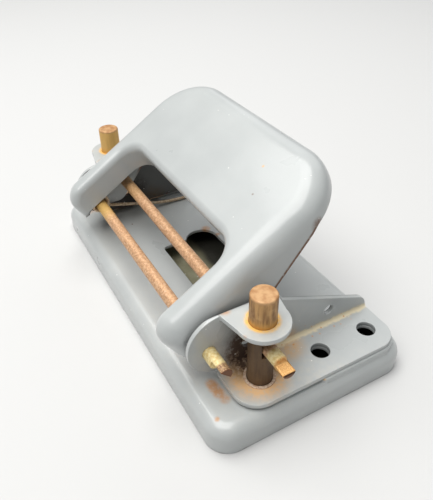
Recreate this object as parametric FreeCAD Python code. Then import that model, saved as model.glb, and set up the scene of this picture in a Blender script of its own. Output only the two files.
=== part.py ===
import FreeCAD, Part
import math
import os

# A two-hole desk punch of pressed steel. A shallow tray stands open side down on the table and is
# closed from below by a cover. Two folded brackets on the tray guide the punch pins, carry the axle
# and let the drive rod swing in a curved slot. One pressed lever holds the drive rod, which sits in
# a notch of each pin and pushes the pins down.
#
# +X runs along the punched holes, -Y is the side where paper goes in, +Z is up. The origin lies on
# the table midway between the two pins. Both halves are mirror images about X = 0.

V = FreeCAD.Vector

# ---------------------------------------------------------------- driving dimensions, mm and degrees

# Fits and clearances
running_fit = 0.05           # radial, pins in their guides and the lever on its axle
loose_fit = 0.25             # radial, holes that only let a pin through
swing_clearance = 0.3        # radial, the drive rod in the brackets' curved slots
notch_clearance = 0.2        # the drive rod in a pin's notch, on each side
lever_side_gap = 0.7         # each side skirt of the lever to its bracket
cover_gap = 0.15             # the cover to the tray's walls

# Punch pins
hole_spacing = 80.0
pin_r = 2.7
pin_length = 23.7
pin_top_edge_r = 0.4
pin_tip_groove = 1.0         # depth of the hollow ground across the cutting end
pin_rest_gap = 0.25          # cutting end above the brackets' underside, at rest

# Base tray
base_height = 6.7            # table to the paper's surface
base_depth = 49.0
base_ahead = 14.6            # front edge ahead of the pins
base_end_margin = 8.1        # past the pins at each end
base_corner_r = 5.3
base_edge_r = 3.0
base_sheet = 1.0
paper_gap = 0.75             # step at the paper stop, and the slot under the brackets
paper_margin = 11.5          # pins to the paper stop, the front of the raised pads
pad_ledge = 0.45             # how far the pads show past the brackets' flanges
pad_front_r = 1.0
pad_edge_r = 0.3
window_front = 2.2           # opening in the middle of the tray
window_neck = 9.0
window_rear = 17.8
window_front_half = 11.7
window_rear_half = 14.3
window_front_r = 1.2
window_rear_r = 4.2

# Bottom cover
cover_sheet = 0.8
cover_rim = 3.2

# Die plates under the tray's top
die_plate_thick = 1.5
die_plate_half_x = 4.8
die_plate_half_y = 6.0
die_plate_corner_r = 1.0

# Brackets
bracket_sheet = 1.1
bracket_height = 17.3        # underside of the flange to the top of the tab
bend_r = 0.8                 # inside radius of both folds
web_inset = 6.3              # pins to the inner face of the web
flange_out = 6.55            # pins to the flange's outer edge
flange_ahead = 7.1
flange_front_r = 5.5
flange_rear_r = 5.0
flange_rear_margin = 1.7     # flange's rear edge to the tray's rear edge
tab_half = 6.4               # at the fold
tab_r = 5.5                  # round end of the tab, about the pin
web_tail_height = 3.75
web_tail_r = 3.5
web_shoulder = 14.2          # height of the web just behind the tab
web_shoulder_behind = 2.0    # and its distance behind the tab
web_shoulder_r = 1.5
ear_ahead = 6.0              # centre of the web's round front ear
ear_height = 9.25
ear_r = 7.5
ear_foot = 1.0               # lower edge of the ear above the flange's underside
tail_hole_r = 1.3
tail_hole_margin = 11.2      # ahead of the flange's rear edge
tail_hole_height = 5.05
bolt_hole_r = 2.1
bolt_hole_outset = 0.7       # outside the pins' line
bolt_rear_margin = 6.5       # rear holes ahead of the tray's rear edge
bolt_pitch = 12.8

# Guide bushes
bush_wall = 0.6
bush_stand = 0.3

# Axle and drive rod
axle_r = 1.5
axle_ahead = 8.8
axle_height = 8.02           # above the flange's underside
axle_inside_pin = 2.2        # the fully round part ends this far inside the pins' line
axle_tip = 3.6               # half-round tip beyond it
drive_rod_r = 1.5
drive_arm = 9.63             # axle to drive rod
drive_angle = 18.3           # of that arm above the horizontal, at rest
press_angle = 28.0           # the lever's travel
drive_rod_past_pin = 6.1     # fully round this far outside the pins
drive_rod_tip = 2.8

# Lever
lever_sheet = 1.0
lever_slope = 32.2
lever_rise = 9.33            # axle to the plate's upper face
lever_front = 5.6            # plate ahead of the axle, along the slope
lever_rear = 43.9            # plate behind the axle, along the slope
lever_rear_corner_r = 14.0
lever_edge_r = 4.6
lever_window_edge_r = 2.0
lever_arm_flat = 0.4         # level top of an arm, between its two rounded edges
lever_end_flat = 0.3         # outer front corner's radius, over that of the edge
lever_rim = 17.9             # rear edge of the window behind the axle, along the slope
lever_rim_r = 5.5
lever_rim_depth = 4.0
lever_lip_clearance = 0.43   # inner lips of the arms over the axle
lever_end_slant = 4.5        # how far the arms' front ends slant down from lip to skirt
lever_skirt_drop = 3.17      # lower edge of the side skirts below the axle
lever_skirt_run = 7.8        # how far behind the axle that edge runs level
lever_skirt_rise = 52.0      # and the slope at which it then climbs
lever_skirt_toe_r = 3.0
lever_back_depth = 6.0       # depth of the skirt round the rear

# Return springs, wound round the axle inside the lever's arms
spring_wire_r = 0.45
spring_bore_gap = 0.3
spring_pitch = 1.02
spring_turns = 3
spring_side_gap = 0.2        # outer coil to the rounded front corner of the lever's arm
spring_lift = 13.6           # lever-side leg, steeper than the lever's plate
spring_leg = 22.0
spring_bend_r = 1.2
spring_foot_behind = 22.0    # the other leg bends to lie on the tray this far behind the axle
spring_foot = 7.0            # length that lies there
spring_foot_gap = 0.05

# --------------------------------------------------------------------------------- derived positions

pin_x = hole_spacing / 2
base_half = pin_x + base_end_margin
base_rear = base_depth - base_ahead
flange_z = base_height + paper_gap
flange_top = flange_z + bracket_sheet
tab_top = flange_z + bracket_height
web_x = pin_x - web_inset
flange_rear = base_rear - flange_rear_margin
axle_z = flange_z + axle_height
bush_r = pin_r + running_fit + bush_wall
pin_bottom = flange_z + pin_rest_gap
pin_top = pin_bottom + pin_length
drive_y = -axle_ahead + drive_arm * math.cos(math.radians(drive_angle))
drive_z = axle_z + drive_arm * math.sin(math.radians(drive_angle))
lever_half = web_x - lever_side_gap
lever_arm_width = lever_edge_r + lever_arm_flat + lever_window_edge_r
lever_end_r = lever_edge_r + lever_end_flat
spring_coil_r = axle_r + spring_bore_gap + spring_wire_r

# Sizes of the cutting shapes only
past = 1.0                   # how far a cutter runs past the sheet it cuts
far = 2 * (base_half + base_depth)   # longer than anything that is cut
tiny = 1e-4


# ------------------------------------------------------------------------------------- outline tools

def rounded_wire(points, radii):
    """A closed wire through the points, with each corner rounded to its radius."""
    edges = []
    count = len(points)
    starts, ends, middles = [], [], []
    for i, corner in enumerate(points):
        before = (points[i - 1] - corner).normalize()
        after = (points[(i + 1) % count] - corner).normalize()
        half = before.getAngle(after) / 2
        reach = radii[i] / math.tan(half)
        inward = (before + after).normalize()
        starts.append(corner + before * reach)
        ends.append(corner + after * reach)
        middles.append(corner + inward * (radii[i] / math.sin(half) - radii[i]))
    for i in range(count):
        if radii[i] > 0:
            edges.append(Part.Arc(starts[i], middles[i], ends[i]).toShape())
        if ends[i].distanceToPoint(starts[(i + 1) % count]) > tiny:
            edges.append(Part.LineSegment(ends[i], starts[(i + 1) % count]).toShape())
    return Part.Wire(edges)


def plan_prism(corners, low, high):
    """Corners are (x, y, radius); the prism stands from low to high."""
    wire = rounded_wire([V(x, y, low) for x, y, _ in corners], [r for _, _, r in corners])
    return Part.Face(wire).extrude(V(0, 0, high - low))


def side_prism(corners, left, right):
    """Corners are (y, z, radius); the prism lies from x = left to x = right."""
    wire = rounded_wire([V(left, y, z) for y, z, _ in corners], [r for _, _, r in corners])
    return Part.Face(wire).extrude(V(right - left, 0, 0))


def rod_along_x(radius, y, z, left, right):
    return Part.makeCylinder(radius, right - left, V(left, y, z), V(1, 0, 0))


def post(radius, x, y, low, high):
    return Part.makeCylinder(radius, high - low, V(x, y, low), V(0, 0, 1))


def block(low, high):
    size = high - low
    return Part.makeBox(size.x, size.y, size.z, low)


def rectangle(half, front, rear, radius):
    return [(-half, front, radius), (half, front, radius), (half, rear, radius), (-half, rear, radius)]


def mirrored(shape):
    return shape.mirror(V(0, 0, 0), V(1, 0, 0))


def round_top(shape, height, radius):
    """Rounds every edge that lies at the given height."""
    boxes = [(edge, edge.BoundBox) for edge in shape.Edges]
    edges = [e for e, box in boxes if abs(box.ZMin - height) < tiny and abs(box.ZMax - height) < tiny]
    return shape.makeFillet(radius, edges)


# ---------------------------------------------------------------------------------------- base tray

def tray_form(inset):
    """The tray with a raised pad under each bracket, as a solid form with its faces moved in by inset."""
    corners = rectangle(base_half - inset, -base_ahead + inset, base_rear - inset, base_corner_r - inset)
    bottom = -base_sheet if inset else 0
    top = base_height - inset
    form = round_top(plan_prism(corners, bottom, top), top, base_edge_r - inset)
    left, right = web_x + inset, pin_x + flange_out + pad_ledge - inset
    rear = flange_rear + pad_ledge - inset
    outer_r = flange_rear_r + pad_ledge - inset
    pad_corners = [
        (left, paper_margin + inset, 0),
        (right, paper_margin + inset, pad_front_r),
        (right, rear, outer_r),
        (left, rear, 0),
    ]
    pad = plan_prism(pad_corners, base_height - base_edge_r, flange_z - inset)
    if not inset:
        pad = round_top(pad, flange_z, pad_edge_r)
    return form.fuse(pad).fuse(mirrored(pad)).removeSplitter()


def bolt_places():
    rear = base_rear - bolt_rear_margin
    return [(pin_x + bolt_hole_outset, rear), (pin_x + bolt_hole_outset, rear - bolt_pitch)]


def tray_window():
    front = rectangle(window_front_half, window_front, window_neck + window_rear_r, window_front_r)
    rear = rectangle(window_rear_half, window_neck, window_rear, window_rear_r)
    return plan_prism(front, 0, far).fuse(plan_prism(rear, 0, far))


def base_tray():
    tray = tray_form(0).cut(tray_form(base_sheet))
    tray = tray.cut(tray_window())
    for side in (-1, 1):
        tray = tray.cut(post(pin_r + loose_fit, side * pin_x, 0, 0, far))
        for x, y in bolt_places():
            tray = tray.cut(post(bolt_hole_r, side * x, y, 0, far))
    return tray


# -------------------------------------------------------------------------------------- bottom cover

def bottom_cover():
    inset = base_sheet + cover_gap
    corners = rectangle(base_half - inset, -base_ahead + inset, base_rear - inset, base_corner_r - inset)
    inner = inset + cover_sheet
    hollow = rectangle(base_half - inner, -base_ahead + inner, base_rear - inner, base_corner_r - inner)
    cover = plan_prism(corners, 0, cover_rim).cut(plan_prism(hollow, cover_sheet, far))
    return cover


# --------------------------------------------------------------------------------------- die plates

def die_plate():
    top = base_height - base_sheet
    low_x, high_x = pin_x - die_plate_half_x, pin_x + die_plate_half_x
    r = die_plate_corner_r
    corners = [
        (low_x, -die_plate_half_y, r),
        (high_x, -die_plate_half_y, r),
        (high_x, die_plate_half_y, r),
        (low_x, die_plate_half_y, r),
    ]
    plate = plan_prism(corners, top - die_plate_thick, top)
    return plate.cut(post(pin_r + running_fit, pin_x, 0, 0, far))


# ------------------------------------------------------------------------------------------ brackets

def bracket_fold():
    """Flange, web and tab as one long folded section, before its outlines are cut."""
    outer = bend_r + bracket_sheet
    inner_x = web_x + bracket_sheet
    reach = pin_x + flange_out
    section = [
        (web_x, flange_z, outer),
        (reach, flange_z, 0),
        (reach, flange_top, 0),
        (inner_x, flange_top, bend_r),
        (inner_x, tab_top - bracket_sheet, bend_r),
        (reach, tab_top - bracket_sheet, 0),
        (reach, tab_top, 0),
        (web_x, tab_top, outer),
    ]
    wire = rounded_wire([V(x, -base_depth, z) for x, z, _ in section], [r for _, _, r in section])
    return Part.Face(wire).extrude(V(0, 2 * base_depth, 0))


def web_outline():
    shoulder = tab_half + web_shoulder_behind
    profile = [
        (flange_rear, flange_z - past, 0),
        (flange_rear, flange_z + web_tail_height, web_tail_r),
        (shoulder, flange_z + web_shoulder, web_shoulder_r),
        (tab_half, tab_top + past, 0),
        (-ear_ahead, tab_top + past, 0),
        (-ear_ahead, flange_z + ear_height, 0),
        (-flange_ahead, flange_z + ear_height, 0),
        (-flange_ahead, flange_z - past, 0),
    ]
    inner_x = web_x + bracket_sheet
    web = side_prism(profile, web_x - past, inner_x)
    ear = rod_along_x(ear_r, -ear_ahead, flange_z + ear_height, web_x - past, inner_x)
    below = block(V(0, -far, -far), V(far, far, flange_z + ear_foot))
    return web.fuse(ear.cut(below))


def flange_outline():
    left = web_x - past
    right = pin_x + flange_out
    corners = [
        (left, -flange_ahead, 0),
        (right, -flange_ahead, flange_front_r),
        (right, flange_rear, flange_rear_r),
        (left, flange_rear, 0),
    ]
    return plan_prism(corners, flange_z - past, flange_top + bend_r)


def tab_outline():
    low = tab_top - bracket_sheet - bend_r
    fold_x = web_x + bracket_sheet + bend_r
    side = [(web_x - past, tab_half, 0), (fold_x, tab_half, 0), (pin_x, tab_r, 0)]
    other_side = [(x, -y, r) for x, y, r in reversed(side)]
    neck = plan_prism(side + other_side, low, tab_top + past)
    return neck.fuse(post(tab_r, pin_x, 0, low, tab_top + past))


def curved_slot():
    """The drive rod's path through a web, with clearance all round."""
    left, right = web_x - past, web_x + bracket_sheet + past
    half = drive_rod_r + swing_clearance
    ring = rod_along_x(drive_arm + half, -axle_ahead, axle_z, left, right)
    ring = ring.cut(rod_along_x(drive_arm - half, -axle_ahead, axle_z, left, right))
    ends = [math.radians(drive_angle), math.radians(drive_angle - press_angle)]
    rays = [(-axle_ahead + far * math.cos(a), axle_z + far * math.sin(a), 0) for a in ends]
    slot = ring.common(side_prism([(-axle_ahead, axle_z, 0)] + rays, left, right))
    for a in ends:
        y, z = -axle_ahead + drive_arm * math.cos(a), axle_z + drive_arm * math.sin(a)
        slot = slot.fuse(rod_along_x(half, y, z, left, right))
    return slot


def tail_hole():
    """The round hole near the low end of the web."""
    return flange_rear - tail_hole_margin, flange_z + tail_hole_height


def bracket():
    keep = web_outline().fuse(flange_outline()).fuse(tab_outline())
    plate = bracket_fold().common(keep)
    plate = plate.cut(curved_slot())
    left, right = web_x - past, web_x + bracket_sheet + past
    plate = plate.cut(rod_along_x(axle_r, -axle_ahead, axle_z, left, right))
    hole_y, hole_z = tail_hole()
    plate = plate.cut(rod_along_x(tail_hole_r, hole_y, hole_z, left, right))
    plate = plate.cut(post(bush_r, pin_x, 0, flange_z - past, flange_top + past))
    plate = plate.cut(post(pin_r + running_fit, pin_x, 0, flange_top + past, far))
    for x, y in bolt_places():
        plate = plate.cut(post(bolt_hole_r, x, y, 0, flange_top + past))
    return plate.removeSplitter()


def guide_bush():
    ring = post(bush_r, pin_x, 0, flange_z, flange_top + bush_stand)
    return ring.cut(post(pin_r + running_fit, pin_x, 0, 0, far))


# ---------------------------------------------------------------------------------- axle, rod, pins

def half_round_rod(radius, y, z, full_half, tip, flat_normal):
    """A rod whose two tips keep only the half that faces away from flat_normal."""
    end = full_half + tip
    rod = rod_along_x(radius, y, z, -end, end)
    half = Part.makeBox(tip, 4 * radius, 2 * radius, V(0, -2 * radius, 0))
    half.rotate(V(0, 0, 0), V(1, 0, 0), math.degrees(math.atan2(flat_normal[1], flat_normal[0])) - 90)
    half.translate(V(full_half, y, z))
    return rod.cut(half).cut(mirrored(half))


def axle_rod():
    return half_round_rod(axle_r, -axle_ahead, axle_z, pin_x - axle_inside_pin, axle_tip, (-1, -1))


def drive_rod():
    return half_round_rod(drive_rod_r, drive_y, drive_z, pin_x + drive_rod_past_pin, drive_rod_tip, (0, 1))


def punch_pin():
    pin = round_top(post(pin_r, pin_x, 0, pin_bottom, pin_top), pin_top, pin_top_edge_r)
    nearest = -axle_ahead + drive_arm * math.cos(math.radians(max(drive_angle, press_angle - drive_angle)))
    floor = nearest - drive_rod_r - notch_clearance
    half = drive_rod_r + notch_clearance
    notch = block(V(0, floor, drive_z - half), V(far, far, drive_z + half))
    groove_y = pin_r + past
    groove_z = pin_bottom + pin_tip_groove
    slope = pin_tip_groove / pin_r
    low = pin_bottom - slope
    groove = side_prism([(-groove_y, low, 0), (0, groove_z, 0), (groove_y, low, 0)], 0, far)
    return pin.cut(notch).cut(groove)


# -------------------------------------------------------------------------------------------- lever

def lever_form(inset):
    """The U-shaped plate as a solid form lying flat, its axle at the origin, faces moved in by inset."""
    half = lever_half - inset
    front, rear = -lever_front + inset, lever_rear - inset
    end_r, back_r = lever_end_r - inset, lever_rear_corner_r - inset
    top = lever_rise - inset
    corners = [(-half, front, end_r), (half, front, end_r), (half, rear, back_r), (-half, rear, back_r)]
    plate = round_top(plan_prism(corners, -far, top), top, lever_edge_r - inset)
    inner = lever_half - lever_arm_width + inset
    rim = lever_rim + inset
    window = plan_prism(rectangle(inner, -far, rim, lever_rim_r + inset), -2 * far, far)
    form = plate.cut(window)
    return form.makeFillet(lever_window_edge_r - inset, window_edges(form, inner, front, rim))


def window_edges(form, inner, front, rim):
    """The window's upper edges, and the upright ones where it runs out at the front."""
    found = []
    for edge in form.Edges:
        box = edge.BoundBox
        on_window = max(abs(box.XMin), abs(box.XMax)) < inner + tiny and box.YMax < rim + tiny
        upright = box.XLength + box.YLength < tiny
        at_front = box.YMax < front + tiny
        if on_window and box.ZMax > 0 and (at_front or not upright):
            found.append(edge)
    return found


def lever_placed(shape):
    """From lying flat with the axle at the origin to its rest position."""
    shape.rotate(V(0, 0, 0), V(1, 0, 0), lever_slope)
    shape.translate(V(0, -axle_ahead, axle_z))
    return shape


def lip_trim():
    """What is trimmed off below the window's turned-down lips, lying flat."""
    wide = lever_half - lever_arm_width + lever_sheet
    lip_low = axle_r + lever_lip_clearance
    arms = block(V(-wide, lever_window_edge_r - lever_front, -far), V(wide, lever_rim - lever_rim_r, lip_low))
    rim_low = lever_rise - lever_rim_depth
    narrow = wide - lever_rim_r
    rim = block(V(-narrow, 0, -far), V(narrow, lever_rim + lever_sheet, rim_low))
    corners = block(V(-wide, 0, -far), V(wide, lever_rim + lever_sheet, lip_low))
    inner = wide - lever_sheet
    outer, outer_low = inner + lever_end_slant, lip_low - lever_end_slant
    slant = [(0, lip_low), (inner, lip_low), (outer, outer_low), (0, outer_low - outer)]
    wire = rounded_wire([V(x, -far, n) for x, n in slant], [0] * len(slant))
    end = Part.Face(wire).extrude(V(0, far - lever_front + lever_window_edge_r, 0))
    return arms.fuse(rim).fuse(corners).fuse(end).fuse(mirrored(end))


def skirt_outline():
    """Side view of what the lever keeps: deep side skirts in front, a shallow skirt at the rear."""
    level = axle_z - lever_skirt_drop
    toe = -axle_ahead + lever_skirt_run
    slope, climb = math.radians(lever_slope), math.radians(lever_skirt_rise)
    depth = lever_rise - lever_back_depth
    band_y = -axle_ahead - depth * math.sin(slope)
    band_z = axle_z + depth * math.cos(slope)
    gap = (band_z - level) + (toe - band_y) * math.tan(slope)
    meet_y = toe + gap / (math.tan(climb) - math.tan(slope))
    meet_z = level + (meet_y - toe) * math.tan(climb)
    reach = far / 2
    corners = [
        (-reach, level, 0),
        (toe, level, lever_skirt_toe_r),
        (meet_y, meet_z, lever_skirt_toe_r),
        (meet_y + reach * math.cos(slope), meet_z + reach * math.sin(slope), 0),
        (meet_y, far, 0),
        (-reach, far, 0),
    ]
    return side_prism(corners, -lever_half - past, lever_half + past)


def lever():
    shell = lever_form(0).cut(lever_form(lever_sheet)).cut(lip_trim())
    shell = lever_placed(shell).common(skirt_outline())
    shell = shell.cut(rod_along_x(axle_r + running_fit, -axle_ahead, axle_z, -far, far))
    shell = shell.cut(rod_along_x(drive_rod_r, drive_y, drive_z, -far, far))
    return shell


# ---------------------------------------------------------------------------------- return springs

def bent_path(points, radius):
    """Edges through the points, with each inner corner rounded."""
    edges = []
    start = points[0]
    for i in range(1, len(points) - 1):
        corner = points[i]
        before = (points[i - 1] - corner).normalize()
        after = (points[i + 1] - corner).normalize()
        half = before.getAngle(after) / 2
        reach = radius / math.tan(half)
        middle = corner + (before + after).normalize() * (radius / math.sin(half) - radius)
        edges.append(Part.LineSegment(start, corner + before * reach).toShape())
        edges.append(Part.Arc(corner + before * reach, middle, corner + after * reach).toShape())
        start = corner + after * reach
    edges.append(Part.LineSegment(start, points[-1]).toShape())
    return edges


def spring_outer_x():
    """Where the coil ends, so that its turns clear the front corner of the lever's arm."""
    corner_r = lever_end_r - lever_sheet - spring_wire_r - spring_side_gap
    ahead = max(0, spring_coil_r - (lever_front - lever_end_r))
    return lever_half - lever_end_r + math.sqrt(corner_r**2 - ahead**2) + spring_pitch / 4


def return_spring():
    """One leg bears under the lever's plate, the other lies on the tray."""
    lift = math.radians(lever_slope + spring_lift)
    first_angle = lift + math.pi / 2
    last_angle = 2 * math.pi * (spring_turns + 1) - math.pi / 2
    turns = (last_angle - first_angle) / (2 * math.pi)
    width = turns * spring_pitch
    outer_x = spring_outer_x()
    inner_x = outer_x - width
    helix = Part.makeHelix(spring_pitch, width, spring_coil_r)
    cos_a, sin_a = math.cos(first_angle), math.sin(first_angle)
    rows = (0, 0, 1, inner_x, cos_a, -sin_a, 0, -axle_ahead, sin_a, cos_a, 0, axle_z, 0, 0, 0, 1)
    coil = helix.transformGeometry(FreeCAD.Matrix(*rows)).Edges
    start = V(inner_x, -axle_ahead + spring_coil_r * cos_a, axle_z + spring_coil_r * sin_a)
    end = V(outer_x, -axle_ahead, axle_z - spring_coil_r)
    bearing = start + V(0, math.cos(lift), math.sin(lift)) * spring_leg
    foot_y = spring_foot_behind - axle_ahead
    foot_z = base_height + spring_foot_gap + spring_wire_r
    leg = [end, V(outer_x, foot_y, foot_z), V(outer_x, foot_y + spring_foot, foot_z)]
    path = [Part.LineSegment(bearing, start).toShape()] + coil + bent_path(leg, spring_bend_r)
    wire = Part.Wire(Part.__sortEdges__(path))
    ring = Part.Wire(Part.makeCircle(spring_wire_r, bearing, start - bearing))
    return wire.makePipeShell([ring], True, False)


# ------------------------------------------------------------------------------------------- export

def paired(name, shape):
    return {"right_" + name: shape, "left_" + name: mirrored(shape)}


def main():
    parts = {
        "base_tray": base_tray(),
        "bottom_cover": bottom_cover(),
        "axle_rod": axle_rod(),
        "drive_rod": drive_rod(),
        "lever": lever(),
    }
    parts.update(paired("bracket", bracket()))
    parts.update(paired("guide_bush", guide_bush()))
    parts.update(paired("die_plate", die_plate()))
    parts.update(paired("punch_pin", punch_pin()))
    parts.update(paired("return_spring", return_spring()))
    os.makedirs("parts", exist_ok=True)
    for name, shape in parts.items():
        solids = shape.Solids
        box = shape.BoundBox
        print(
            f"{name}: {len(solids)} solid, valid {shape.isValid()}, {shape.Volume:.1f} mm3, "
            f"x {box.XMin:.2f} {box.XMax:.2f}, y {box.YMin:.2f} {box.YMax:.2f}, z {box.ZMin:.2f} {box.ZMax:.2f}"
        )
        solid = solids[0] if len(solids) == 1 else Part.makeCompound(solids)
        solid.exportStep("parts/" + name + ".step")


main()
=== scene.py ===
import math

import bmesh
import bpy
from mathutils import Matrix, Vector


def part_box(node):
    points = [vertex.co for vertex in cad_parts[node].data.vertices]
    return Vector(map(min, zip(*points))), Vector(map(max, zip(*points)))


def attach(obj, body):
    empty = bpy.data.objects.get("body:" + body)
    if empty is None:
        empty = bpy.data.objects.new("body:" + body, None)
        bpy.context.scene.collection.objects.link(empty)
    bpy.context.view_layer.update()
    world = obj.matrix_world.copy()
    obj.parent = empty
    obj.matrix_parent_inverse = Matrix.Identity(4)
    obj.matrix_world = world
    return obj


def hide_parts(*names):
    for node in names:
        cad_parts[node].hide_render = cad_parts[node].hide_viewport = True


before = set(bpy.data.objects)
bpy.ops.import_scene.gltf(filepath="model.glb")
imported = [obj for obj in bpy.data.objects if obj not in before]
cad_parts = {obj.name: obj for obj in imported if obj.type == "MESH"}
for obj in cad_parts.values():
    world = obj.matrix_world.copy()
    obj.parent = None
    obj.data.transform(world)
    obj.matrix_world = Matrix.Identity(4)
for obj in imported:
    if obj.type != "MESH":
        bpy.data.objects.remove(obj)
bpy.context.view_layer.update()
MM = 0.001

# ------------------------------------------------------------------------------------ base tray
# The tray is drawn from one sheet of steel and stove-enamelled light grey. Years of use have left
# a film of dust, small chips, a scuffed foot and rust that ran out from under the brackets.


class Shade:
    """A socket of a material's node tree. Python's operators on it add Math nodes."""

    def __init__(self, tree, socket):
        self.tree = tree
        self.socket = socket

    def node(self, kind, settings=None, sockets=None, output=0):
        """A node of any type, with its settings and the values or links of its sockets."""
        made = self.tree.nodes.new(kind)
        for name, value in (settings or {}).items():
            setattr(made, name, value)
        for key, value in (sockets or {}).items():
            if isinstance(value, Shade):
                self.tree.links.new(value.socket, made.inputs[key])
            else:
                made.inputs[key].default_value = value
        return Shade(self.tree, made.outputs[output])

    def math(self, operation, first, second=0.0):
        return self.node("ShaderNodeMath", {"operation": operation}, {0: first, 1: second})

    def __add__(self, other):
        return self.math("ADD", self, other)

    __radd__ = __add__

    def __mul__(self, other):
        return self.math("MULTIPLY", self, other)

    __rmul__ = __mul__

    def __sub__(self, other):
        return self.math("SUBTRACT", self, other)

    def __rsub__(self, other):
        return self.math("SUBTRACT", other, self)

    def __abs__(self):
        return self.math("ABSOLUTE", self)

    def most(self, other):
        return self.math("MAXIMUM", self, other)

    def least(self, other):
        return self.math("MINIMUM", self, other)

    def ramp(self, low, high):
        """Runs smoothly from 0 at low to 1 at high, or the other way round where low is larger."""
        settings = {"interpolation_type": "SMOOTHSTEP"}
        if low < high:
            return self.node("ShaderNodeMapRange", settings, {0: self, 1: low, 2: high})
        return 1 - self.node("ShaderNodeMapRange", settings, {0: self, 1: high, 2: low})

    def noise(self, size, detail=3.0, stretch=(1, 1, 1)):
        """Cloudy variation with lumps of about this size, in metres."""
        place = self.node("ShaderNodeMapping", None, {"Vector": self, "Scale": stretch})
        return self.node("ShaderNodeTexNoise", None, {"Vector": place, "Scale": 1 / size, "Detail": detail})

    def specks(self, spacing, radius, share):
        """Small soft-edged specks: a share of the cells, each of the given spacing, holds one."""
        cells = {"Vector": self, "Scale": 1 / spacing}
        away = self.node("ShaderNodeTexVoronoi", None, cells)
        lot = self.node("ShaderNodeTexVoronoi", None, cells, 1)
        lot = lot.node("ShaderNodeSeparateColor", None, {0: lot})
        size = radius / spacing
        return away.ramp(1.4 * size, 0.6 * size) * lot.ramp(share + 0.01, share)

    def near(self, centre, inner, outer):
        """1 within inner of a point and 0 beyond outer."""
        away = self.node("ShaderNodeVectorMath", {"operation": "DISTANCE"}, {0: self, 1: centre}, "Value")
        return away.ramp(outer, inner)

    def axes(self):
        """The x, y and z of a place."""
        return [self.node("ShaderNodeSeparateXYZ", None, {0: self}, axis) for axis in range(3)]

    def blend(self, under, over):
        """Colour under where this mask is 0, and over where it is 1."""
        over = over if isinstance(over, Shade) else (*over, 1)
        under = under if isinstance(under, Shade) else (*under, 1)
        sockets = {"Factor": self, 6: under, 7: over}
        return self.node("ShaderNodeMix", {"data_type": "RGBA"}, sockets, 2)


def start_finish(name):
    """A new material and the place of each point on the piece, in metres."""
    material = bpy.data.materials.new(name)
    material.use_nodes = True
    tree = material.node_tree
    tree.nodes.clear()
    place = Shade(tree, None).node("ShaderNodeTexCoord", None, None, "Object")
    return material, place


def close_finish(place, height, bump_depth, **sockets):
    """The shader. Other names are its sockets, with _ for a space. A height of 1 stands bump_depth proud."""
    names = {key.replace("_", " "): value for key, value in sockets.items()}
    bump = {"Height": height, "Distance": bump_depth, "Strength": 1.0}
    names["Normal"] = place.node("ShaderNodeBump", None, bump)
    shader = place.node("ShaderNodeBsdfPrincipled", None, names)
    output = place.tree.nodes.new("ShaderNodeOutputMaterial")
    place.tree.links.new(shader.socket, output.inputs["Surface"])


ENAMEL = (0.455, 0.475, 0.472)
CHIP = (0.82, 0.81, 0.77)
DUST = (0.66, 0.60, 0.48)
TAN_RUST = (0.52, 0.27, 0.12)
DARK_RUST = (0.16, 0.065, 0.028)
OCHRE = (0.72, 0.40, 0.10)
SCUFF = (0.20, 0.185, 0.17)
MOTTLE = 0.045


def stain(place, core, fade, tint, strength):
    """A stain that is full within core of a place and gone at fade, both in millimetres."""
    return Vector(place), core * MM, fade * MM, tint, strength


def enamel(name, stains, dust, wear):
    """Glossy grey enamel under a film of dust, with stains and wear.

    Each kind of wear is a function, which gives its mask from the place and the fine noise, and a colour.
    """
    material, place = start_finish(name)
    cloud = place.noise(14 * MM, 4)
    fine = place.noise(1.1 * MM, 3)
    grit = place.noise(0.35 * MM, 2)
    deep, light = ([c * tone for c in ENAMEL] for tone in (1 - MOTTLE, 1 + MOTTLE))
    colour = cloud.ramp(0.3, 0.75).blend(deep, light)
    film = cloud.ramp(0.38, 0.7) * fine.ramp(0.3, 0.75) * dust
    colour = film.blend(colour, DUST)
    rough = 0.27 + 0.07 * cloud.ramp(0.3, 0.7) + 0.5 * film
    height = 0.5 * place.noise(7 * MM, 1)
    ragged = 0.45 + 0.35 * fine.ramp(0.3, 0.6) + 0.2 * grit.ramp(0.35, 0.6)
    for centre, core, fade, tint, strength in stains:
        mask = (place.near(centre, core, fade) * ragged * strength).least(1.0)
        colour = mask.blend(colour, tint)
        rough = rough + 0.4 * mask
        height = height + 0.5 * mask * grit
    for worn_where, tint in wear:
        mask = worn_where(place, fine)
        colour = mask.blend(colour, tint)
        rough = rough + 0.4 * mask
    scattered = place.specks(4.2 * MM, 0.16 * MM, 0.35)
    crowded = place.specks(1.9 * MM, 0.11 * MM, 0.32) * cloud.ramp(0.43, 0.55)
    pale = scattered.most(crowded)
    dark = place.specks(9 * MM, 0.22 * MM, 0.22)
    colour = pale.blend(colour, CHIP)
    colour = dark.blend(colour, DARK_RUST)
    height = height + 0.8 * pale - 0.8 * dark
    gloss = {"IOR": 1.5, "Coat_Weight": 0.35, "Coat_Roughness": 0.12}
    close_finish(place, height, 0.03 * MM, Base_Color=colour, Roughness=rough, **gloss)
    return material


SAME_POINT = 0.0005 * MM
SHORT_EDGE = 0.12 * MM
FLAT_ANGLE = math.radians(1)
CRISP_ANGLE = math.radians(35)
SHARP_ANGLE = math.radians(40)


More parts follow.
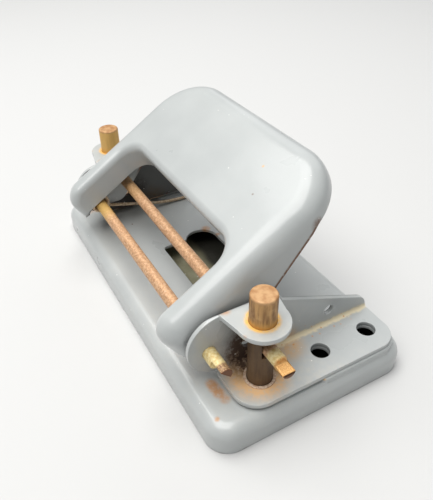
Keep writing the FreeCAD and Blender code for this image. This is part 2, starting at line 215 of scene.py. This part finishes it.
def softened(node, width, segments=2):
    """The worn piece: a node's own shape with its sharp edges rounded over, in place of the node.

    The shortest edges stay as they are, because the rounding would not fit on them.
    """
    form = bmesh.new()
    form.from_mesh(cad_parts[node].data)
    bmesh.ops.remove_doubles(form, verts=form.verts, dist=SAME_POINT)
    bmesh.ops.dissolve_limit(form, angle_limit=FLAT_ANGLE, verts=form.verts, edges=form.edges)
    folds = [e for e in form.edges if len(e.link_faces) == 2 and e.calc_face_angle() > SHARP_ANGLE]
    bmesh.ops.bevel(
        form,
        geom=[e for e in folds if e.calc_length() > SHORT_EDGE],
        offset=width,
        affect="EDGES",
        segments=segments,
        profile=0.5,
        material=-1,
        clamp_overlap=False,
    )
    return finished(form, node + "_worn")


def finished(form, name):
    """Turns a form into an object with smooth faces and crisp folds."""
    mesh = bpy.data.meshes.new(name)
    form.to_mesh(mesh)
    form.free()
    mesh.shade_smooth()
    mesh.set_sharp_from_angle(angle=CRISP_ANGLE)
    piece = bpy.data.objects.new(name, mesh)
    bpy.context.scene.collection.objects.link(piece)
    level = piece.modifiers.new("level_faces", "WEIGHTED_NORMAL")
    level.keep_sharp = True
    return piece


def paint(piece, material):
    """Gives a piece this material and no other."""
    piece.data.materials.clear()
    piece.data.materials.append(material)


PAPER_GAP = 0.75 * MM
tray_low, tray_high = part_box("base_tray")
bracket_low, bracket_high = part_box("right_bracket")
pin_low, pin_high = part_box("right_punch_pin")
pin_x = (pin_low.x + pin_high.x) / 2
paper_z = tray_high.z - PAPER_GAP

tray_stains = [
    # rust that ran out from under the right bracket's front edge
    stain((pin_x - 4.6 * MM, -8.9 * MM, paper_z), 0.6, 1.7, TAN_RUST, 0.8),
    stain((pin_x - 3.2 * MM, -8.8 * MM, paper_z), 0.7, 1.8, TAN_RUST, 0.9),
    stain((pin_x - 1.6 * MM, -8.6 * MM, paper_z), 0.7, 1.8, TAN_RUST, 0.9),
    stain((pin_x + 0.2 * MM, -8.3 * MM, paper_z), 0.5, 1.6, TAN_RUST, 0.7),
    # spots on the front edge and beside the right flange
    stain((pin_x + 3.5 * MM, tray_low.y + 2.6 * MM, paper_z), 0.2, 0.8, TAN_RUST, 0.9),
    stain((bracket_high.x + 0.3 * MM, 11.3 * MM, tray_high.z), 0.4, 0.9, OCHRE, 1.0),
    # rust in front of the left bracket and round the opening
    stain((-pin_x, -9.0 * MM, paper_z), 0.5, 3.0, TAN_RUST, 0.5),
    stain((-13.6 * MM, 16.6 * MM, paper_z), 0.6, 1.8, TAN_RUST, 0.9),
    stain((-9.5 * MM, 18.2 * MM, paper_z), 0.3, 1.0, TAN_RUST, 0.8),
]


def scuffed_foot(place, fine):
    """The lower edge, where the tray has been pushed about on tables."""
    z = place.axes()[2]
    low_down = (z + 0.5 * MM * fine).ramp(0.62 * MM, 0.42 * MM)
    return low_down * place.noise(5 * MM).ramp(0.45, 0.6) * 0.8


tray = softened("base_tray", 0.2 * MM)
paint(tray, enamel("tray_enamel", tray_stains, 0.08, [(scuffed_foot, SCUFF)]))
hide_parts("base_tray")
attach(tray, "base")

# --------------------------------------------------------------------------------- bottom cover
# A khaki plastic cover is pushed into the tray from below and keeps the punched chips in. It is
# matt and dusty, painted black towards the rear as the shade under the tray's top, and only shows
# through the openings in the tray.

KHAKI = (0.26, 0.245, 0.15)
PALE_KHAKI = (0.37, 0.35, 0.235)
PAPER_CRUMB = (0.62, 0.60, 0.52)
# painted shade: the cover turns black towards the rear, under the tray's top
PAINTED_SHADE_BLACK = (0.012, 0.012, 0.011)
SHADE_FROM = 11.5 * MM
SHADE_FULL = 15 * MM

material, place = start_finish("cover_khaki")
fibre = place.noise(0.8 * MM, 4)
cloud = place.noise(6 * MM, 3)
colour = cloud.ramp(0.3, 0.7).blend(KHAKI, PALE_KHAKI)
colour = place.specks(2.5 * MM, 0.3 * MM, 0.3).blend(colour, PAPER_CRUMB)
y = place.axes()[1]
# painted shade under the tray's top, darkening the cover towards the rear
shaded_rear = (y + 3 * MM * (cloud - 0.5)).ramp(SHADE_FROM, SHADE_FULL) * 0.93
colour = shaded_rear.blend(colour, PAINTED_SHADE_BLACK)
close_finish(place, fibre, 0.08 * MM, Base_Color=colour, Roughness=0.6 + 0.3 * fibre)
cover = softened("bottom_cover", 0.2 * MM)
paint(cover, material)
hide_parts("bottom_cover")
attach(cover, "base")

# ------------------------------------------------------------------------------------- brackets
# Each bracket is one blank of steel folded twice: a flange spot-welded to the tray, an upright web
# and a tab round the pin. Dust and rust have gathered in the fold and round the pin. The faces that
# look at the lever are painted dark as shade.

BRACKET_SHEET = 1.1 * MM
FOLD_WIDTH = 2.0 * MM
FOLD_CORNER = 1.5 * MM
SANDY_RUST = (0.78, 0.50, 0.26)
BROWN_DUST = (0.66, 0.42, 0.20)
BRIGHT_RUST = (0.80, 0.48, 0.12)
# dark rust low on the web beside the pin, deepened as painted shade
RUST_AND_SHADE_BROWN = (0.07, 0.04, 0.025)
# packed dust in the fold, also lightened as a painted highlight on the bend
DUST_AND_HIGHLIGHT_CREAM = (0.83, 0.72, 0.49)
RUST_SPECK = (0.62, 0.27, 0.07)
# painted shade for the faces that look at the lever
INNER_SHADE_COLOUR = (0.03, 0.028, 0.025)
tab_z = bracket_high.z


def bracket_stains(side):
    """Round the bush, on the web beside the pin (dark rust deepened as painted shade), along the fold, round
    the pin and at the tab's front.
    """
    pin = side * pin_x
    fold = side * (bracket_low.x + FOLD_WIDTH)
    flange_z = bracket_low.z + BRACKET_SHEET
    return [
        stain((pin - side * 0.8 * MM, 0, flange_z), 4.2, 8.2, SANDY_RUST, 1.2),
        stain((fold - side * 0.5 * MM, 1 * MM, flange_z + 4 * MM), 3.5, 9, RUST_AND_SHADE_BROWN, 1.3),
        stain((fold, 9 * MM, flange_z), 2, 6, BROWN_DUST, 0.8),
        stain((pin, 0, tab_z), 3.0, 3.9, BRIGHT_RUST, 1.2),
        stain((fold - side * 1.2 * MM, -5 * MM, tab_z), 0.2, 1.7, TAN_RUST, 0.8),
        stain((pin + side * 2 * MM, -5.4 * MM, tab_z), 0.1, 0.8, TAN_RUST, 0.6),
    ]


def from_fold(place):
    """Distance from the lower fold. It grows towards the pin, so that only the fold behind it counts."""
    x, y, z = place.axes()
    away = abs(abs(x) - (bracket_low.x + FOLD_CORNER)) + abs(z - (bracket_low.z + FOLD_CORNER))
    return away + y.ramp(8 * MM, 4 * MM) * 5 * MM


def fold_dust_and_highlight(place, fine):
    """A pale line along the fold: packed dust, lightened as a painted highlight where the bend catches the
    light.
    """
    return (from_fold(place) + 1.6 * MM * fine).ramp(2.1 * MM, 1.2 * MM) * 0.85


def fold_rust(place, fine):
    """Orange specks along the dust."""
    return place.specks(1.1 * MM, 0.22 * MM, 0.5) * from_fold(place).ramp(3.2 * MM, 1.4 * MM) * 0.8


def painted_inner_shade(place, fine):
    """Painted shade: the face that looks at the lever is painted dark."""
    x = place.axes()[0]
    return abs(x).ramp(bracket_low.x + 0.3 * MM, bracket_low.x + 0.1 * MM) * 0.85


# the last pair paints shade on the faces that look at the lever
bracket_wear = [(fold_dust_and_highlight, DUST_AND_HIGHLIGHT_CREAM), (fold_rust, RUST_SPECK), (painted_inner_shade, INNER_SHADE_COLOUR)]
for name, side in (("right_bracket", 1), ("left_bracket", -1)):
    bracket = softened(name, 0.11 * MM)
    paint(bracket, enamel(name + "_enamel", bracket_stains(side), 0.3, bracket_wear))
    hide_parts(name)
    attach(bracket, "base")

# ---------------------------------------------------------------------------------- guide bushes
# A turned steel ring is pressed into each flange and guides the pin that runs through it. Damp has
# turned it brown all round.

BROWN_STEEL = (0.58, 0.38, 0.25)
PALE_STEEL = (0.80, 0.64, 0.50)

material, place = start_finish("bush_steel")
grain = place.noise(0.5 * MM, 3)
colour = grain.ramp(0.35, 0.65).blend(BROWN_STEEL, PALE_STEEL)
close_finish(place, grain, 0.04 * MM, Base_Color=colour, Roughness=0.35 + 0.35 * grain, Metallic=0.35)
for name in ("right_guide_bush", "left_guide_bush"):
    bush = softened(name, 0.1 * MM)
    paint(bush, material)
    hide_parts(name)
    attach(bush, "base")

# ------------------------------------------------------------------------------------ die plates
# A hardened steel plate with a ground cutting edge is fixed under each pin, against the underside
# of the tray's top. The grinding has left fine lines across it.

DARK_GROUND = (0.28, 0.28, 0.29)
BRIGHT_GROUND = (0.46, 0.46, 0.47)

material, place = start_finish("die_steel")
grain = place.noise(0.6 * MM, 3, (1, 8, 1))
colour = grain.ramp(0.3, 0.7).blend(DARK_GROUND, BRIGHT_GROUND)
close_finish(place, grain, 0.02 * MM, Base_Color=colour, Roughness=0.3 + 0.3 * grain, Metallic=0.9)
for name in ("right_die_plate", "left_die_plate"):
    paint(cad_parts[name], material)

# ----------------------------------------------------------------------------------- punch pins
# The pins are turned from round steel and slide in the tabs and bushes. Age has left their tops
# coppery and their sides brassy and streaked, with rust where they leave the tabs. Below the tabs
# they are painted dark brown. The left one is yellower.

WORN_COPPER = (0.40, 0.20, 0.08)
BRIGHT_COPPER = (0.58, 0.35, 0.17)
BROWN_STREAK = (0.24, 0.12, 0.045)
BRASSY_STREAK = (0.54, 0.31, 0.12)
BRASSY_BLOTCH = (0.66, 0.43, 0.19)
LEFT_YELLOW = (0.80, 0.50, 0.15)
PIN_DARK_BELOW_TAB = (0.075, 0.045, 0.024)

material, place = start_finish("pin_copper")
x, _, z = place.axes()
streak = place.noise(0.7 * MM, 3, (1, 1, 0.12))
grain = place.noise(0.4 * MM, 3)
blotch = place.noise(1.6 * MM, 3)
sides = streak.ramp(0.32, 0.68).blend(BROWN_STREAK, BRASSY_STREAK)
sides = (blotch.ramp(0.5, 0.75) * 0.5).blend(sides, BRASSY_BLOTCH)
sides = (x.ramp(0, -30 * MM) * 0.75).blend(sides, LEFT_YELLOW)
top = blotch.ramp(0.35, 0.65).blend(WORN_COPPER, BRIGHT_COPPER)
on_top = z.ramp(pin_high.z - 0.7 * MM, pin_high.z - 0.15 * MM)
below_tab = z.ramp(tab_z, tab_z - 1.5 * MM) * 0.88
rust_ring = z.ramp(tab_z + 2.2 * MM, tab_z) * z.ramp(tab_z - 1 * MM, tab_z) * 0.7
colour = on_top.blend(sides, top)
colour = below_tab.blend(colour, PIN_DARK_BELOW_TAB)
colour = rust_ring.blend(colour, OCHRE)
rough = 0.42 + 0.3 * grain
close_finish(place, streak + 0.4 * grain, 0.05 * MM, Base_Color=colour, Roughness=rough, Metallic=0.3)
for name, body in (("right_punch_pin", "right_pin"), ("left_punch_pin", "left_pin")):
    pin = softened(name, 0.15 * MM)
    paint(pin, material)
    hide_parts(name)
    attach(pin, body)

# ------------------------------------------------------------------------------- axle, drive rod
# Both cross rods are 3 mm bar, sheared to a half round at the tips. The axle is fixed in the
# brackets and the drive rod in the lever. A speckled coppery bloom covers their middles, the
# plating is still yellow near the ends, and the tips have rusted.

BLOOM = (0.46, 0.245, 0.125)
PALE_BLOOM = (0.66, 0.40, 0.22)
BLOOM_SPECK = (0.80, 0.62, 0.44)
BLOOM_PIT = (0.30, 0.14, 0.07)
YELLOWED_BLOOM = (0.66, 0.42, 0.11)
DULL_PLATING = (0.68, 0.50, 0.20)
BRIGHT_PLATING = (0.86, 0.74, 0.42)
END_RUST = (0.17, 0.07, 0.03)


def rod_finish(node, plated_from, plated_full, left_yellow, tip_length, tip_dark, tip_light):
    """Coppery bloom, with plating between these distances from the middle and outwards, and a rusted tip.

    The bloom on the left turns yellow by the share left_yellow.
    """
    material, place = start_finish(node + "_finish")
    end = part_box(node)[1].x
    x = place.axes()[0]
    out = abs(x)
    speckle = place.noise(0.6 * MM, 3)
    grain = place.noise(0.25 * MM, 2)
    bloom = speckle.ramp(0.35, 0.65).blend(BLOOM, PALE_BLOOM)
    bloom = (grain.ramp(0.56, 0.72) * 0.7).blend(bloom, BLOOM_SPECK)
    bloom = (grain.ramp(0.38, 0.30) * 0.8).blend(bloom, BLOOM_PIT)
    bloom = (x.ramp(-16 * MM, -24 * MM) * left_yellow).blend(bloom, YELLOWED_BLOOM)
    plating = speckle.ramp(0.3, 0.7).blend(DULL_PLATING, BRIGHT_PLATING)
    tip = grain.ramp(0.35, 0.65).blend(tip_dark, tip_light)
    tip_from = end - tip_length
    at_tip = (out + 1.2 * MM * (speckle - 0.5)).ramp(tip_from - 0.3 * MM, tip_from + 0.3 * MM)
    end_face = out.ramp(end - 0.22 * MM, end - 0.08 * MM)
    colour = out.ramp(plated_from, plated_full).blend(bloom, plating)
    colour = at_tip.blend(colour, tip)
    colour = end_face.blend(colour, END_RUST)
    rough = 0.38 + 0.3 * grain
    close_finish(place, speckle + 0.5 * grain, 0.035 * MM, Base_Color=colour, Roughness=rough, Metallic=0.25)
    return material


axle_wear = {
    "plated_from": 30 * MM,
    "plated_full": 35 * MM,
    "left_yellow": 0.8,
    "tip_length": 2.0 * MM,
    "tip_dark": (0.20, 0.10, 0.05),
    "tip_light": (0.50, 0.33, 0.17),
}
drive_wear = {
    "plated_from": 43 * MM,
    "plated_full": 44 * MM,
    "left_yellow": 0.2,
    "tip_length": 3.0 * MM,
    "tip_dark": (0.62, 0.30, 0.09),
    "tip_light": (0.84, 0.52, 0.20),
}
rods = (
    ("axle_rod", "base", 0.12 * MM, axle_wear),
    ("drive_rod", "lever", 0.4 * MM, drive_wear),
)
for name, body, rounding, wear in rods:
    rod = softened(name, rounding, 3)
    paint(rod, rod_finish(name, **wear))
    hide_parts(name)
    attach(rod, body)

# ---------------------------------------------------------------------------------------- lever
# The lever is one deep pressing: a hand plate, two arms and a skirt that stiffens it all round.
# The enamel is thick and glossy, thin at the skirt's raw edge, where a line of rust has crept in.

SKIRT_RISE = math.radians(52)
SKIRT_EDGE_Y = -1.0 * MM
SKIRT_EDGE_Z = 12.3 * MM
PLATE_SLOPE = math.radians(32.2)
axle_low, axle_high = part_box("axle_rod")
axle_y = (axle_low.y + axle_high.y) / 2
axle_z = (axle_low.z + axle_high.z) / 2


def skirt_rust(place, fine):
    """A thin line of rust along the skirt's raw edge, where it climbs behind the arms."""
    _, y, z = place.axes()
    off = (z - SKIRT_EDGE_Z) * math.cos(SKIRT_RISE) - (y - SKIRT_EDGE_Y) * math.sin(SKIRT_RISE)
    climbing = y.ramp(3 * MM, 6 * MM) * y.ramp(18 * MM, 16 * MM)
    return off.ramp(0.9 * MM, 0.45 * MM) * climbing * fine.ramp(0.2, 0.45)


def lip_chips_and_highlight(place, fine):
    """Pale, ragged chips along the lip round the rear, which also serve as a painted highlight on the lip's
    flare.
    """
    _, y, z = place.axes()
    above_axle = (z - axle_z) * math.cos(PLATE_SLOPE) - (y - axle_y) * math.sin(PLATE_SLOPE)
    low_down = (above_axle + 1.2 * MM * fine).ramp(4.6 * MM, 4.2 * MM)
    rear = y.ramp(19 * MM, 22 * MM)
    return low_down * rear * place.noise(3 * MM).ramp(0.45, 0.58)


lever_stains = [
    stain((16 * MM, 15 * MM, 41.6 * MM), 0.05, 0.5, OCHRE, 1.0),
    stain((20 * MM, 10 * MM, 38.4 * MM), 0.05, 0.4, DARK_RUST, 0.8),
    stain((32.5 * MM, 17 * MM, 36 * MM), 0.6, 2.0, DARK_RUST, 0.8),
]
lever = softened("lever", 0.09 * MM)
# the pale rear lip is partly chips and partly a painted highlight
paint(lever, enamel("lever_enamel", lever_stains, 0.03, [(skirt_rust, DARK_RUST), (lip_chips_and_highlight, CHIP)]))
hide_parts("lever")
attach(lever, "lever")

# ------------------------------------------------------------------------------- return springs
# A torsion spring of thin wire is wound round the axle inside each arm. One leg runs back and
# lies on the tray beside the bracket, the other presses up under the hand plate.

WIRE_R = 0.45 * MM
WIRE_SIDES = 12
COIL_R = 2.25 * MM
COIL_TURNS = 3.37
COIL_STEPS = 100
COIL_PITCH = 1.02 * MM
LEG_LIFT = PLATE_SLOPE + math.radians(13.6)
LEG_LENGTH = 22 * MM
FOOT_BEND = 22 * MM
FOOT_LENGTH = 7 * MM
BROWN_WIRE = (0.52, 0.36, 0.22)
PALE_WIRE = (0.76, 0.62, 0.45)

material, place = start_finish("spring_wire")
grain = place.noise(0.5 * MM, 3)
colour = grain.ramp(0.35, 0.65).blend(BROWN_WIRE, PALE_WIRE)
close_finish(place, grain, 0.04 * MM, Base_Color=colour, Roughness=0.35 + 0.3 * grain, Metallic=0.5)

spring_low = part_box("right_return_spring")[0]
coil_width = COIL_TURNS * COIL_PITCH
inner_x = spring_low.x + WIRE_R
outer_x = inner_x + coil_width
outward = Vector((0, -math.sin(LEG_LIFT), math.cos(LEG_LIFT)))
leg_start = Vector((inner_x, axle_y, axle_z)) + outward * COIL_R
leg_end = leg_start + Vector((0, math.cos(LEG_LIFT), math.sin(LEG_LIFT))) * LEG_LENGTH
foot_start = Vector((outer_x, axle_y, axle_z - COIL_R))
foot_bend = Vector((outer_x, axle_y + FOOT_BEND, spring_low.z + WIRE_R))
foot_end = foot_bend + Vector((0, FOOT_LENGTH, 0))


def wire_leg(name, points, side):
    """A leg of the spring: round wire through the points, bent smoothly at each."""
    curve = bpy.data.curves.new(name, "CURVE")
    curve.dimensions = "3D"
    curve.bevel_depth = WIRE_R
    curve.bevel_resolution = 4
    curve.use_fill_caps = True
    curve.resolution_u = 6
    spline = curve.splines.new("NURBS")
    spline.points.add(len(points) - 1)
    for knot, point in zip(spline.points, points):
        knot.co = (side * point.x, point.y, point.z, 1)
    spline.order_u = 3
    spline.use_endpoint_u = True
    leg = bpy.data.objects.new(name, curve)
    bpy.context.scene.collection.objects.link(leg)
    return leg


def wire_coil(name, side):
    """The turns round the axle: a ring of wire spun along it."""
    along = Vector((1, 0, 0))
    facing = Matrix((along, outward, along.cross(outward))).transposed().to_4x4()
    form = bmesh.new()
    bmesh.ops.create_circle(
        form, segments=WIRE_SIDES, radius=WIRE_R, matrix=Matrix.Translation(leg_start) @ facing
    )
    bmesh.ops.spin(
        form,
        geom=form.edges[:],
        cent=(inner_x, axle_y, axle_z),
        axis=(1, 0, 0),
        dvec=(coil_width / COIL_STEPS, 0, 0),
        angle=COIL_TURNS * 2 * math.pi,
        steps=COIL_STEPS,
        use_merge=False,
    )
    bmesh.ops.holes_fill(form, edges=[e for e in form.edges if e.is_boundary], sides=WIRE_SIDES)
    bmesh.ops.scale(form, vec=(side, 1, 1), verts=form.verts)
    bmesh.ops.recalc_face_normals(form, faces=form.faces)
    return finished(form, name)


for name, side in (("right_return_spring", 1), ("left_return_spring", -1)):
    coil = wire_coil(name + "_coil", side)
    foot_points = [foot_start, (foot_start + foot_bend) / 2, foot_bend, foot_end]
    tray_leg = wire_leg(name + "_foot", foot_points, side)
    lever_leg = wire_leg(name + "_leg", [leg_start, (leg_start + leg_end) / 2, leg_end], side)
    for piece, body in ((coil, "base"), (tray_leg, "base"), (lever_leg, "lever")):
        paint(piece, material)
        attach(piece, body)
    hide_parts(name)

# ------------------------------------------------------------------------ floor, light and view
# The punch stands on a plain pale floor under one large soft light overhead, a little in front,
# and a weak one behind, with a dim even light all round. The view is close, from above on the
# right.

FLOOR_SIZE = 3.0
FLOOR_GREY = (0.60, 0.60, 0.595, 1)
ROOM_COLOUR = (0.80, 0.84, 0.88, 1)
ROOM_STRENGTH = 0.24
LIT_POINT = Vector((0, 8, 20)) * MM

bpy.ops.mesh.primitive_plane_add(size=FLOOR_SIZE, location=(0, 0, 0))
floor = bpy.context.object
floor.name = "floor"
material, place = start_finish("floor_paper")
fibre = place.noise(3 * MM, 2)
close_finish(place, fibre, 0.01 * MM, Base_Color=FLOOR_GREY, Roughness=0.8)
paint(floor, material)

world = bpy.data.worlds.new("studio")
bpy.context.scene.world = world
world.use_nodes = True
room = world.node_tree.nodes["Background"]
room.inputs["Color"].default_value = ROOM_COLOUR
room.inputs["Strength"].default_value = ROOM_STRENGTH


def softbox(name, place, size, power, colour):
    """A soft rectangular light that faces the punch. Its size is in metres and its power in watts."""
    data = bpy.data.lights.new(name, "AREA")
    data.shape = "RECTANGLE"
    data.size, data.size_y = size
    data.energy = power
    data.color = colour
    light = bpy.data.objects.new(name, data)
    light.location = place
    light.rotation_euler = (LIT_POINT - Vector(place)).to_track_quat("-Z", "Y").to_euler()
    bpy.context.scene.collection.objects.link(light)


softbox("top_light", (-0.08, -0.12, 0.65), (0.85, 0.65), 8.3, (1.0, 0.99, 0.97))
softbox("rear_light", (-0.35, 0.45, 0.40), (0.6, 0.4), 0.5, (0.97, 0.98, 1.0))

EYE = Vector((98.145, -41.951, 96.425)) * MM
AIM = Vector((20.6, 0.0, 29.27)) * MM
ROLL = math.radians(-1.10)
SENSOR_HEIGHT = 24
LENS_SHARE = 1.071
LENS_SHIFT = (0.009, -0.008)

camera_data = bpy.data.cameras.new("view")
camera = bpy.data.objects.new("view", camera_data)
bpy.context.scene.collection.objects.link(camera)
camera_data.sensor_fit = "VERTICAL"
camera_data.sensor_height = SENSOR_HEIGHT
camera_data.lens = SENSOR_HEIGHT * LENS_SHARE
camera_data.shift_x, camera_data.shift_y = LENS_SHIFT
camera_data.clip_start = 5 * MM
turn = (AIM - EYE).to_track_quat("-Z", "Y").to_matrix().to_4x4()
camera.matrix_world = Matrix.Translation(EYE) @ turn @ Matrix.Rotation(ROLL, 4, "Z")
bpy.context.scene.camera = camera
bpy.context.scene.view_settings.view_transform = "Standard"
